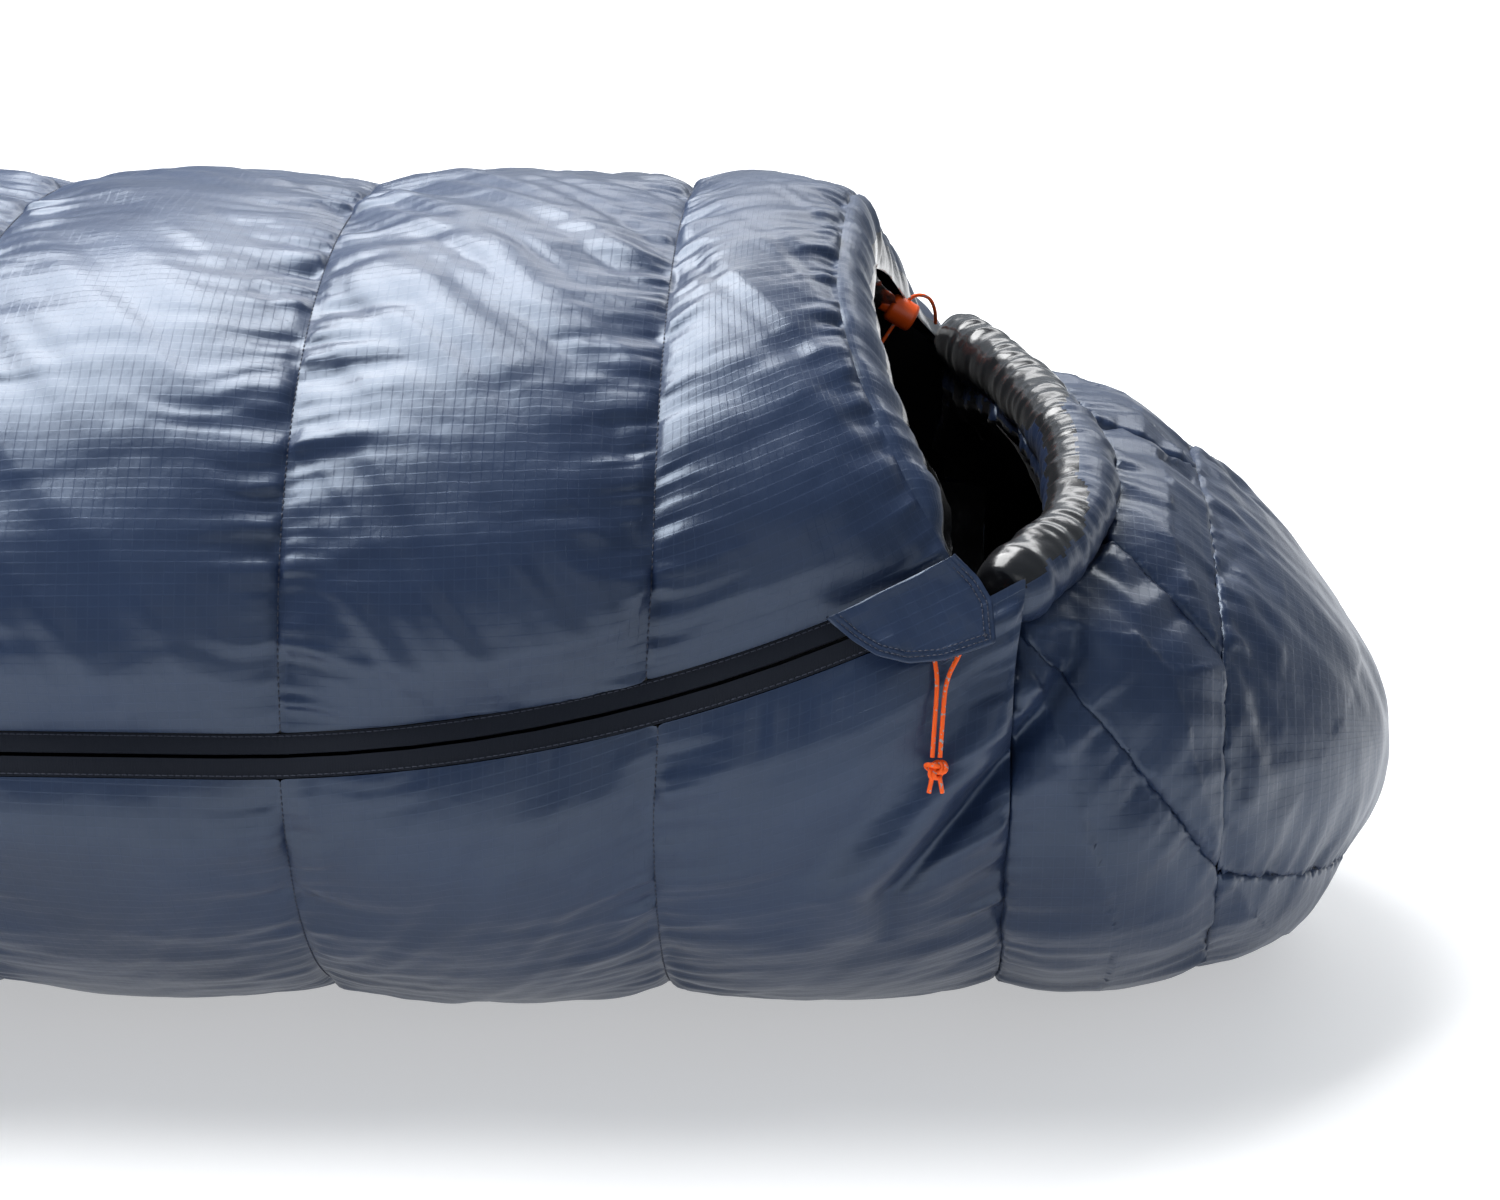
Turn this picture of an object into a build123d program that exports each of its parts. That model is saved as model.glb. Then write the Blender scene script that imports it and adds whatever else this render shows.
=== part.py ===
from build123d import *
from math import asin, copysign, cos, degrees, radians, sin
import os

os.makedirs("parts", exist_ok=True)

# A down sleeping bag lying on its back, in mm. +X is the head, -Y the side with the zip, +Z up.

# The body of the bag
HALF = 292            # half the width at a seam
TOP = 405             # height at a seam
PUFF = 13             # how much a baffle stands out past its seams
MID = 197             # height of the widest line and of the straight zip
WALL = 27             # quilt from shell to lining at a seam
UNDER = 29            # quilt under the sleeper
FOOT_END = -1025      # the far end of the foot
FOOT_SEAM = -930      # seam between the last baffle and the foot end
CHIN = 790            # head end of the top quilt at the zip
NECK = 815            # seam between the body and the hood
SHOULDER = 560        # from here to the hood the bag narrows
SEAMS = [645 - 175 * k for k in range(10)]
STEP = 0.7            # each baffle stops this far from the middle of its seam
ROUND = 2.3           # 2 is an ellipse, more is boxier

# The zip, which is straight and then curves up to the chin
ZIP_START = 440       # where the curve starts
ZIP_RADIUS = 750
ZIP_GAP = 11          # from the middle of the zip to the edge of either quilt
RISE = (0.479, 0.878)  # the way the zip climbs, in Y and Z


def half_at(x):
    """Half the width of the bag at a seam."""
    if x <= SHOULDER:
        return HALF
    return HALF - 30 * ((x - SHOULDER) / (CHIN - SHOULDER)) ** 1.5


def section(x, half, top, low=-5, mid=MID):
    """A slice across the bag. It is flat where it would go under the floor or under its own foot."""
    floor = max(0, low + 5)
    drop = degrees(asin((mid - floor) / (mid - low)))
    points = []
    for k in range(33):
        a = radians(-drop + (180 + 2 * drop) * k / 32)
        c, s = cos(a), sin(a)
        if s >= 0:
            y, z = copysign(abs(c) ** (2 / ROUND), c), mid + (top - mid) * s ** (2 / ROUND)
        else:
            y, z = c, mid + (mid - low) * s
        points.append((x, half * y, z))
    return Face(Wire([Spline(*points), Line(points[-1], points[0])]))


def solid(shape):
    """The one solid of a cut piece, without crumbs."""
    return max(shape.solids(), key=lambda s: s.volume)


def save(shape, name, colour):
    shape.label = name
    shape.color = Color(*colour)
    export_step(shape, f"parts/{name}.step")


SHELL = (0.20, 0.24, 0.34)
BLACK = (0.03, 0.03, 0.04)
NAVY = (0.05, 0.06, 0.10)
ORANGE = (0.95, 0.27, 0.05)
STEEL = (0.55, 0.56, 0.58)

# Where the zip parts the top quilt from the base. The zip's curve lies in one plane, tilted with the side.
zip_plane = Plane(origin=(0, -HALF, MID), x_dir=(1, 0, 0), z_dir=(0, -RISE[1], RISE[0]))


def zip_frame(x, off=0, out=0):
    """The plane along the zip at x: X along it to the head, Y to the top quilt, Z out of the bag."""
    a = asin(max(0, x - ZIP_START) / ZIP_RADIUS)
    up = ZIP_RADIUS - ZIP_RADIUS * cos(a)
    place = zip_plane.from_local_coords((x - off * sin(a), up + off * cos(a), out))
    along = zip_plane.from_local_coords((x + cos(a), up + sin(a), 0)) - zip_plane.from_local_coords((x, up, 0))
    return Plane(origin=place, x_dir=along, z_dir=zip_plane.z_dir)


def zip_line(off, x0, x1):
    """The zip's line in its own plane, a little to one side of its middle."""
    r, a = ZIP_RADIUS - off, asin((x1 - ZIP_START) / ZIP_RADIUS)
    bend = [(ZIP_START + r * sin(t), ZIP_RADIUS - r * cos(t)) for t in (0, a / 2, a)]
    return [Line((x0, off), bend[0]), ThreePointArc(*bend)], bend[-1]


def beside_zip(off, reach):
    """Everything on one side of the zip, near the zip's side of the bag."""
    edges, end = zip_line(off, -1200, 840)
    edges += [Line(end, (end[0], reach)), Line((end[0], reach), (-1200, reach)), Line((-1200, reach), (-1200, off))]
    region = zip_plane * make_face(edges)
    return extrude(region, 150) + extrude(region, -260)


def block(x0, x1, y0, y1, z0, z1):
    return Pos((x0 + x1) / 2, (y0 + y1) / 2, (z0 + z1) / 2) * Box(x1 - x0, y1 - y0, z1 - z0)


# The zip then goes round the foot at one height
body_room = block(FOOT_SEAM, 900, -500, 500, -100, 700)
lid_side = (beside_zip(ZIP_GAP, 600) + block(-1200, 900, -20, 400, MID + 0.3, 600)) & body_room
base_side = (beside_zip(-ZIP_GAP, -600) + block(-1200, 900, -120, 400, -50, 80)
             + block(-1200, 900, 100, 400, 70, MID - 0.3)) & body_room
lid_side += block(-1200, FOOT_SEAM, -400, 400, MID + ZIP_GAP, 600)
base_side += block(-1200, FOOT_SEAM, -400, 400, -50, MID - ZIP_GAP)

# The chin edge leans back over the face, further on the side with the zip: X and Z, near side then far side
CHIN_NEAR = [(CHIN, 285), (763, 319), (736, 359), (722, 390), (722, 450)]
CHIN_FAR = [(CHIN, 285), (767, 314), (758, 346), (743, 380), (736, 450)]
chin_ends = [Plane.XZ.offset(-y) * make_face(Polyline((-1200, -60), (CHIN, -60), *edge, (-1200, 450), close=True))
             for y, edge in ((-300, CHIN_NEAR), (300, CHIN_FAR))]
chin_cut = loft(chin_ends, ruled=True)


# The hood, which is lower than the body and closes behind the head: x, half width, top, bottom, widest height
HOOD = [(790.5, 262, 330, -5, 190), (870, 238, 290, -5, 165), (925, 204, 262, 0, 150),
        (975, 148, 215, 22, 135), (1010, 88, 170, 62, 125), (1025, 34, 140, 100, 120)]
HOOD_HOLLOW = [(780, 235, 300, 29, 180), (870, 206, 256, 29, 158), (925, 170, 229, 31, 147),
               (962, 120, 189, 54, 129), (983, 62, 156, 86, 122)]


def hood_form(rows, inset=0):
    return loft([section(x - inset * (x > 900), h - inset, t - inset, b + inset, m) for x, h, t, b, m in rows])


# The puffed rim of the hood runs round the face from the zip to the far end of the chin
RIM = [(808, -236, 264), (850, -164, 276), (856, -64, 286), (834, 76, 290), (794, 202, 292)]
RIM_RADIUS = 17


def tube(points, bend, radius):
    """A round tube of straight runs joined by tangent arcs."""
    path = FilletPolyline(*points, radius=bend)
    return sweep(Plane(origin=path @ 0, z_dir=path % 0) * Circle(radius), path=path)


hood_rim = tube(RIM, 40, RIM_RADIUS)
rim_room = tube(RIM, 40, RIM_RADIUS + 0.4)
face_hole = extrude(
    Plane.XY.offset(170) * make_face(Polyline((770, -232), (796, -232), (838, -162), (842, -66), (822, 68), (786, 200),
                                              (770, 200), close=True)), 200)
hood_outside = hood_form(HOOD)
hood_shell = hood_outside - hood_form(HOOD_HOLLOW) - face_hole - rim_room
hood_shell -= block(780, NECK + 0.3, -300, 300, -10, MID + 0.3) + block(780, NECK + 0.3, -300, 100, 0, 400)


# --- Baffles: tubes of down across the bag, shell outside and lining inside ---
def hollow_form(x0, x1, inset=0):
    """The room for the sleeper between two places along the body."""
    stops = [x0] + [x for x in (SHOULDER, 640, 715, CHIN) if x0 < x < x1] + [x1]
    rooms = [section(x, half_at(x) - WALL - inset, TOP - WALL - inset, UNDER - 5 + inset) for x in stops]
    return loft(rooms, ruled=True)


def baffle(x0, x1, puff):
    """A tube of down from one seam to the next, right round the bag."""
    ends = [(x0, 0), ((x0 + x1) / 2, puff), (x1, 0)]
    outside = loft([section(x, half_at(x) + 0.2 * p, TOP + p) for x, p in ends])
    return outside - hollow_form(x0 - 1, x1 + 1)


edges = [NECK] + SEAMS
for k in range(10):
    head, foot = edges[k], edges[k + 1]
    ring = baffle(foot + STEP, head - (STEP if k else 0.3), PUFF if k else PUFF - 4)
    top, base = ring & lid_side, ring & base_side
    if k == 0:
        top = (top & chin_cut) - rim_room
        base -= block(CHIN, 900, -400, 0, 246, 500) + rim_room
    save(solid(top), f"top_baffle_{k + 1:02d}", SHELL)
    save(solid(base), f"base_baffle_{k + 1:02d}", SHELL)

# --- Foot end: closes the tube, rounded at its corners, parted by the zip that goes round it ---
CORNER = 70
plan = Pos((FOOT_END + FOOT_SEAM + 200) / 2, 0) * RectangleRounded(FOOT_SEAM - FOOT_END + 200, 2 * HALF, CORNER)
side = Plane.XZ * make_face(Polyline((-900, 0), (-985, 0), (FOOT_END, 60), (FOOT_END, 300), (-1000, 365), (-955, TOP),
                                     (-900, TOP), close=True))
foot_form = extrude(section(FOOT_SEAM - STEP, HALF, TOP), amount=-120) & extrude(plan, 500)
foot_form &= extrude(side, 400, both=True)
room = Pos(-865, 0, 0) * RectangleRounded(200, 2 * (HALF - WALL), 40)
foot_room = extrude(section(FOOT_SEAM + 5, HALF - WALL, TOP - WALL, UNDER - 5), amount=-80) & extrude(room, 500)
foot_ring = foot_form - foot_room
save(solid(foot_ring & lid_side), "top_foot", SHELL)
save(solid(foot_ring & base_side), "base_foot", SHELL)

# --- Baffle walls: thin netting that holds shell and lining apart at each seam ---
walls = []
for x in SEAMS:
    wall = section(x - 0.4, half_at(x) - 3, TOP - 3, -2) - section(x - 0.4, half_at(x) - WALL + 2, TOP - WALL + 2, 22)
    walls.append(extrude(wall, amount=0.8, dir=(1, 0, 0)))
save(Compound([solid(w & lid_side) for w in walls]), "baffle_walls_top", BLACK)
save(Compound([solid(w & base_side) for w in walls]), "baffle_walls_base", BLACK)

# --- Lining: one thin sheet inside the top, one inside the base, one inside the hood ---
def foot_lining(inset, start):
    """The lining's foot: the same slice as the body, closed by a rounded end."""
    slice_ = section(start, HALF - WALL - inset, TOP - WALL - inset, UNDER - 5 + inset)
    return extrude(slice_, amount=-60) & extrude(offset(room, -inset), 500)


lining = hollow_form(FOOT_SEAM, NECK, 0.3) - hollow_form(FOOT_SEAM - 1, NECK + 1, 1.3)
lining += foot_lining(0.3, FOOT_SEAM) - foot_lining(1.3, FOOT_SEAM + 1)
save(solid((lining & lid_side & chin_cut) - rim_room), "lining_top", BLACK)
save(solid((lining & base_side) - block(CHIN, 900, -400, 0, 246, 500) - rim_room), "lining_base", BLACK)
hood_lining = hood_form(HOOD_HOLLOW, 0.3) - hood_form(HOOD_HOLLOW, 1.3) - face_hole - rim_room
hood_lining -= block(700, NECK + 0.3, -300, 300, -10, 400)
save(solid(hood_lining), "lining_hood", BLACK)

# --- Hood panels, sewn edge to edge round the puffed rim ---
save(hood_rim, "hood_rim", SHELL)


def through(a, b, c):
    """The plane through three points, with a as its origin."""
    a, b, c = Vector(a), Vector(b), Vector(c)
    return Plane(origin=a, z_dir=(b - a).cross(c - a))


def parted(shape, plane):
    """The two sides of a shape, 0.3 apart along a seam."""
    return (split(shape, plane.offset(0.15), keep=Keep.TOP), split(shape, plane.offset(-0.15), keep=Keep.BOTTOM))


back_of_head, front = parted(hood_shell, Plane(origin=(922, 0, 0), z_dir=(1, 0, 0)))
hood_back, hood_under = parted(back_of_head, through((922, -190, 108), (982, -100, 80), (900, 100, 108)))
if hood_back.center().Z < hood_under.center().Z:
    hood_back, hood_under = hood_under, hood_back
save(solid(hood_back), "hood_back", SHELL)
save(solid(hood_under), "hood_under", SHELL)
for name, turn in (("near", 1), ("far", -1)):
    middle = (850, 0, 110)
    slice_ = front & block(780, 930, -300 if turn > 0 else 0.15, -0.15 if turn > 0 else 300, -10, 400)
    seam = through(middle, (830, -250 * turn, 240), (922, -195 * turn, 108))
    neck, rest = sorted(parted(slice_, seam), key=lambda s: s.center().Z)
    roof = through(middle, (870, -165 * turn, 275), (922, -185 * turn, 218))
    cheek, crown = sorted(parted(rest, roof), key=lambda s: s.center().Z)
    save(solid(neck), f"hood_neck_{name}", SHELL)
    save(solid(cheek), f"hood_side_{name}", SHELL)
    save(solid(crown), f"hood_crown_{name}", SHELL)

# --- Zip: two woven tapes with a coil on the inner face of each ---
TAPE = 1.0            # thickness
TAPE_EDGE = 1.0       # from the middle of the zip to a tape's inner edge
COIL = 1.1            # radius of a coil
COIL_OFF, COIL_DEEP = 2.2, 2.4
ZIP_HEAD = 788        # the last place where the tapes reach
TURN = -905           # before the foot corner the tapes stand up straight


def tape(sign, name):
    near, far = sorted((sign * TAPE_EDGE, sign * (ZIP_GAP - 0.4)))
    strips = []
    line_a, end_a = zip_line(near, TURN, ZIP_HEAD)
    line_b, end_b = zip_line(far, TURN, ZIP_HEAD)
    strip = make_face(line_a + line_b + [Line((TURN, near), (TURN, far)), Line(end_a, end_b)])
    strips.append(extrude(zip_plane * strip, -TAPE))
    tilted = zip_frame(TURN)
    ends = [Plane(origin=tilted.origin, x_dir=tilted.y_dir, z_dir=(1, 0, 0)),
            Plane(origin=(-955, -HALF, MID), x_dir=(0, 0, 1), z_dir=(1, 0, 0))]
    width, middle = far - near, (far + near) / 2
    strips.append(loft([end * Pos(middle, TAPE / 2) * Rectangle(width, TAPE) for end in ends]))
    outline = extrude(plan - offset(plan, -TAPE), width).moved(Location((0, 0, MID + near)))
    strips.append(outline & block(-1100, -955, -400, 222, 0, 400))
    whole = strips[0] + strips[1] + strips[2]
    save(solid(whole), name, NAVY)


tape(1, "zip_tape_upper")
tape(-1, "zip_tape_lower")


def coil(sign, name):
    off = sign * COIL_OFF
    bent = [zip_frame(x, off, -COIL_DEEP).origin for x in (ZIP_START, (ZIP_START + ZIP_HEAD) / 2, ZIP_HEAD)]
    curve = sweep(Plane(origin=bent[0], z_dir=(1, 0, 0)) * Circle(COIL), path=ThreePointArc(*bent))
    ends = [(-955, -HALF + COIL_DEEP, MID + off), (FOOT_END + COIL_DEEP, -HALF + COIL_DEEP, MID + off),
            (FOOT_END + COIL_DEEP, 220, MID + off)]
    run = FilletPolyline(bent[0], zip_frame(TURN, off, -COIL_DEEP).origin, *ends, radius=CORNER - COIL_DEEP - 4)
    straight = sweep(Plane(origin=run @ 0, z_dir=run % 0) * Circle(COIL), path=run)
    save(solid(curve + straight), name, NAVY)


coil(1, "zip_coil_upper")
coil(-1, "zip_coil_lower")

# Stops at the head end, one on each tape, and one across both at the end of the foot
for sign, name in ((1, "zip_stop_upper"), (-1, "zip_stop_lower")):
    end = zip_frame(ZIP_HEAD + 2.2)
    save(end * Pos(0, sign * 2.6, -1.6) * Box(3, 3.2, 4.4), name, STEEL)
save(Pos(FOOT_END + 1.6, 225, MID) * Box(4.4, 4, 8), "zip_stop_foot", STEEL)

# --- Slider: two plates joined between the coils, with a pin that carries the puller ---
SLIDER_X = 774
slider = zip_frame(SLIDER_X)
PIN_OUT = 6.4
body = Pos(0, 0, 1.7) * extrude(RectangleRounded(16, 10, 2.5), 0.9, both=True)
body += Pos(0, 0, -5.0) * extrude(RectangleRounded(14, 9, 2), 0.8, both=True)
body += Pos(4.5, 0, -1.6) * Box(4, 1, 7)
for side_x in (-5.2, 5.2):
    body += Pos(side_x, 0, 4.4) * Box(1.6, 3.2, 6)
body += Pos(0, 0, PIN_OUT) * Rot(0, 90, 0) * Cylinder(0.9, 11)
save(solid(slider * body), "zip_slider", NAVY)

# Puller: a short tab that hangs from the pin, with an eye along its lower end for the cord
EYE_DOWN = 13.0
puller = Rot(0, 90, 0) * Cylinder(2.3, 7.6) + Pos(0, -EYE_DOWN / 2, 0) * Box(6.4, EYE_DOWN - 2, 1.6)
puller += Pos(0, -EYE_DOWN, 0) * Rot(0, 90, 0) * Cylinder(2.5, 6.4)
puller -= Rot(0, 90, 0) * Cylinder(1.2, 20) + Pos(0, -EYE_DOWN, 0) * Rot(0, 90, 0) * Cylinder(1.5, 20)
save(solid(slider * Pos(0, 0, PIN_OUT) * puller), "zip_puller", NAVY)

# --- Pull cord: one length looped through the puller's eye and knotted, hanging below the flap ---
CORD = 2.2            # diameter


def down(along, off, out=PIN_OUT):
    return slider.from_local_coords((along, off, out))


knot_x, knot_y, knot_z = 779, -283, 193
strand = [Vector(knot_x - 1.8, knot_y + 0.6, knot_z + 5), Vector(779.2, -275.5, 234), down(-8.6, -25),
          down(-8.6, -EYE_DOWN)]
other = [down(8.6, -EYE_DOWN), down(8.6, -25), Vector(783.0, -275.5, 234),
         Vector(knot_x + 1.8, knot_y + 0.6, knot_z + 5)]


def cord(points, diameter, name):
    """A free cord: straight runs joined by tangent arcs. Checked by its length."""
    radii = []
    for a, b, c in zip(points, points[1:], points[2:]):
        short = min((b - a).length, (c - b).length)
        turn = radians((b - a).get_angle(c - b))
        radii.append(0.45 * short / sin(turn / 2) * cos(turn / 2))
    pieces, start = [], points[0]
    for b, after, r in zip(points[1:-1], points[2:], radii):
        before = (b - start).normalized()
        leave = (after - b).normalized()
        turn = radians(before.get_angle(leave))
        reach = r * sin(turn / 2) / cos(turn / 2)
        p, q = b - before * reach, b + leave * reach
        middle = b + (leave - before).normalized() * (r / cos(turn / 2) - r)
        pieces += [Line(start, p), ThreePointArc(p, middle, q)]
        start = q
    pieces.append(Line(start, points[-1]))
    path = Wire(pieces)
    first = (points[1] - points[0]).normalized()
    made = sweep(Plane(origin=points[0], z_dir=first) * Circle(diameter / 2), path=path)
    area = 3.14159265 * diameter ** 2 / 4
    print(name, "length", round(path.length, 1), "volume/area", round(made.volume / area, 1),
          "radii", [round(r, 1) for r in radii])
    return solid(made)


save(cord(strand + other, CORD, "pull_cord"), "pull_cord", ORANGE)
knot = Pos(knot_x, knot_y, knot_z) * (Sphere(4.4) + Torus(3.2, 1.9))
for lean in (-1.4, 1.4):
    knot += Pos(knot_x + lean, knot_y, knot_z - 7) * Rot(0, lean * 5, 0) * Cylinder(1.1, 9)
save(solid(knot), "pull_cord_knot", ORANGE)

# --- Flap over the end of the zip: two layers of shell, sewn to the top quilt along its upper edge ---
FLAP_OUT = 14
flap = zip_frame(768)
FLAP = [(-41, 10), (-34, -5), (-27, -16), (-16, -25), (0, -31), (26, -34), (33, -15), (32, -2), (27, 12)]
leaf = make_face(Polyline(*FLAP, close=True))
save(solid(flap * Pos(0, 0, FLAP_OUT) * extrude(leaf, 2.4)), "zip_flap", SHELL)

# --- Cord lock at the far end of the chin, with its button, spring and cord ---
LOCK = Vector(762, 163, 315)
CORD_WAY = Vector(-0.5, -0.1, -0.86).normalized()
press = Vector(0.86, 0, -0.5)
press = (press - CORD_WAY * press.dot(CORD_WAY)).normalized()
lock = Plane(origin=LOCK, x_dir=CORD_WAY, z_dir=press)
cord_hole = Rot(0, 90, 0) * Cylinder(1.7, 40)
barrel = fillet(Cylinder(8.5, 17).edges(), 2.5)
barrel -= Pos(0, 0, -2.5) * Cylinder(5.4, 17) + cord_hole
save(solid(lock * barrel), "cord_lock_body", ORANGE)
button = Pos(0, 0, -5.6) * Cylinder(5.0, 14.8)
button -= cord_hole + Pos(0, 0, -3.2) * cord_hole + Pos(0, 0, -1.6) * Box(40, 3.4, 3.2)
save(solid(lock * button), "cord_lock_button", ORANGE)
wire = Helix(pitch=1.1, height=3.3, radius=2.6)
spring = sweep(Plane(origin=wire @ 0, z_dir=wire % 0) * Circle(0.3), path=wire)
save(solid(lock * Pos(0, 0, 2.25) * spring), "cord_lock_spring", STEEL)

# Drawcord: comes out of the rim, turns over into the lock, and hangs inside the bag to a knot
draw = [Vector(782.4, 190, 302.8), Vector(782.4, 180, 312.4), Vector(778, 167.7, 324), LOCK - CORD_WAY * 12,
        LOCK + CORD_WAY * 9, Vector(739, 155, 281), Vector(729, 149, 254), Vector(727, 147, 224)]
save(cord(draw, CORD, "drawcord"), "drawcord", ORANGE)
end_knot = Pos(727, 147, 218) * (Sphere(4.4) + Torus(3.2, 1.9)) + Pos(727, 147, 210) * Cylinder(1.1, 10)
save(solid(end_knot), "drawcord_knot", ORANGE)

# --- Draft tubes: padded rolls behind the zip ---
DRAFT, DRAFT_DEEP = 11, 54
inner = [zip_frame(x, 0, -DRAFT_DEEP).origin for x in (ZIP_START, (ZIP_START + 770) / 2, 770)]
curve = sweep(Plane(origin=inner[0], z_dir=(1, 0, 0)) * Circle(DRAFT), path=ThreePointArc(*inner))
run = Plane(origin=inner[0], z_dir=(-1, 0, 0)) * extrude(Circle(DRAFT), ZIP_START + 930)
save(solid(curve + run), "draft_tube_side", BLACK)
save(Pos(-948, 0, MID) * Rot(90, 0, 0) * Cylinder(DRAFT, 400), "draft_tube_foot", BLACK)
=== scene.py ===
from math import asin, cos, pi, radians, sin

import bmesh
import bpy
import numpy as np
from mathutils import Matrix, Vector
from mathutils.bvhtree import BVHTree


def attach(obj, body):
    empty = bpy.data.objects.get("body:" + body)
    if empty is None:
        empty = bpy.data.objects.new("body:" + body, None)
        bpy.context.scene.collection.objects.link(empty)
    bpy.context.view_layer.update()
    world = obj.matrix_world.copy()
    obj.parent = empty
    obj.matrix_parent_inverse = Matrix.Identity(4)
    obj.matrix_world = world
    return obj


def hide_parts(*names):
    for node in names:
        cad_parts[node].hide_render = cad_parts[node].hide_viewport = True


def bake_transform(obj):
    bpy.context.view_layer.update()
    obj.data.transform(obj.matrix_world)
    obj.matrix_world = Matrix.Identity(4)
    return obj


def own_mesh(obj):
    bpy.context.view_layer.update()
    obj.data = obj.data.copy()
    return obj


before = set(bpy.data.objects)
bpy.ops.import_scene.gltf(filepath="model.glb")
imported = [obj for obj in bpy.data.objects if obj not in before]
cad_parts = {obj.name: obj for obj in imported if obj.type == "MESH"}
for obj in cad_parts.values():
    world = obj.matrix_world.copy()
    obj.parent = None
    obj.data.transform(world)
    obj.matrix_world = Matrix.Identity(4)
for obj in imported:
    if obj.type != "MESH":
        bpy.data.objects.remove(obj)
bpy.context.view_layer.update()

# --- Room --------------------------------------------------------------------------------------
# A white sweep under a big soft box over the foot end, with a long dim one behind and a fill
# from the zip's side.
scene = bpy.context.scene
camera = bpy.data.objects.new("camera", bpy.data.cameras.new("camera"))
scene.collection.objects.link(camera)
camera.data.sensor_width, camera.data.lens = 36, 82.8
tilt, swing, reach, aim = radians(17), radians(2.3), 1.9, Vector((0.680, 0, 0.188))
look = Vector((-sin(swing) * cos(tilt), cos(swing) * cos(tilt), -sin(tilt)))
camera.location = aim - look * reach
camera.rotation_euler = look.to_track_quat("-Z", "Y").to_euler()
scene.camera = camera


def soft_box(name, place, target, width, height, power):
    light = bpy.data.objects.new(name, bpy.data.lights.new(name, "AREA"))
    light.data.shape, light.data.energy = "RECTANGLE", power
    light.data.size, light.data.size_y = width, height
    light.location = place
    light.rotation_euler = (Vector(target) - Vector(place)).to_track_quat("-Z", "Y").to_euler()
    scene.collection.objects.link(light)


soft_box("key", (-0.25, 0.35, 2.0), (0.15, 0.0, 0.3), 2.3, 1.5, 135)
soft_box("far_strip", (1.2, 2.2, 1.7), (0.7, 0, 0.3), 2.4, 0.7, 22)
soft_box("front_fill", (1.5, -2.6, 1.2), (0.7, 0, 0.2), 2.0, 1.4, 6)
world = bpy.data.worlds.new("room")
scene.world = world
world.use_nodes = True
world.node_tree.nodes["Background"].inputs["Color"].default_value = (0.80, 0.89, 1.0, 1)
world.node_tree.nodes["Background"].inputs["Strength"].default_value = 0.34
scene.view_settings.view_transform = "Standard"


class Paint:
    """A material put together from named nodes."""

    def __init__(self, name, colour, roughness):
        self.made = bpy.data.materials.new(name)
        self.made.use_nodes = True
        self.tree = self.made.node_tree
        self.skin = self.tree.nodes["Principled BSDF"]
        self.skin.inputs["Base Color"].default_value = (*colour, 1)
        self.skin.inputs["Roughness"].default_value = roughness
        self.height = None

    def node(self, kind, **values):
        made = self.tree.nodes.new(kind)
        for key, value in values.items():
            if key in made.inputs.keys():
                made.inputs[key].default_value = value
            else:
                setattr(made, key, value)
        return made

    def join(self, source, target):
        self.tree.links.new(source, target)

    def coordinates(self, kind="Object", scale=(1, 1, 1)):
        place = self.node("ShaderNodeTexCoord")
        mapping = self.node("ShaderNodeMapping")
        mapping.inputs["Scale"].default_value = scale
        self.join(place.outputs[kind], mapping.inputs["Vector"])
        return mapping.outputs["Vector"]

    def noise(self, where, scale, detail=3.0, roughness=0.55):
        made = self.node("ShaderNodeTexNoise", Scale=scale, Detail=detail, Roughness=roughness)
        self.join(where, made.inputs["Vector"])
        return made.outputs["Fac"]

    def range(self, value, low, high, to_low, to_high):
        made = self.node("ShaderNodeMapRange")
        for socket, number in zip(("From Min", "From Max", "To Min", "To Max"), (low, high, to_low, to_high)):
            made.inputs[socket].default_value = number
        self.join(value, made.inputs["Value"])
        return made.outputs["Result"]

    def sum(self, a, b, operation="ADD"):
        made = self.node("ShaderNodeMath", operation=operation)
        for k, value in enumerate((a, b)):
            if isinstance(value, (int, float)):
                made.inputs[k].default_value = value
            else:
                self.join(value, made.inputs[k])
        return made.outputs[0]

    def mix(self, amount, first, second):
        made = self.node("ShaderNodeMix", data_type="RGBA")
        self.join(amount, made.inputs["Factor"])
        for socket, colour in ((6, first), (7, second)):
            if isinstance(colour, tuple):
                made.inputs[socket].default_value = (*colour, 1)
            else:
                self.join(colour, made.inputs[socket])
        return made.outputs[2]

    def raise_by(self, height, distance, strength=1.0):
        bump = self.node("ShaderNodeBump", Strength=strength, Distance=distance)
        self.join(height, bump.inputs["Height"])
        if self.height is not None:
            self.join(self.height, bump.inputs["Normal"])
        self.height = bump.outputs["Normal"]
        self.join(self.height, self.skin.inputs["Normal"])


floor = bpy.data.objects.new("floor", bpy.data.meshes.new("floor"))
floor.data.from_pydata([(-12, -8, 0), (12, -8, 0), (12, 14, 0), (-12, 14, 0)], [], [(0, 1, 2, 3)])
floor.location.z = -0.0006
scene.collection.objects.link(floor)
white = Paint("white_sweep", (0.70, 0.70, 0.70), 0.7)
uneven = white.range(white.noise(white.coordinates(), 3.0), 0.3, 0.7, 0.55, 0.65)
white.join(uneven, white.skin.inputs["Roughness"])
white.skin.inputs["Emission Color"].default_value = (1, 1, 1, 1)
rest = white.node("ShaderNodeSeparateXYZ")
white.join(white.coordinates(), rest.inputs[0])
white.join(white.range(rest.outputs["Y"], 0.2, 3.0, 0.46, 0.85), white.skin.inputs["Emission Strength"])
floor.data.materials.append(white.made)

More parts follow.
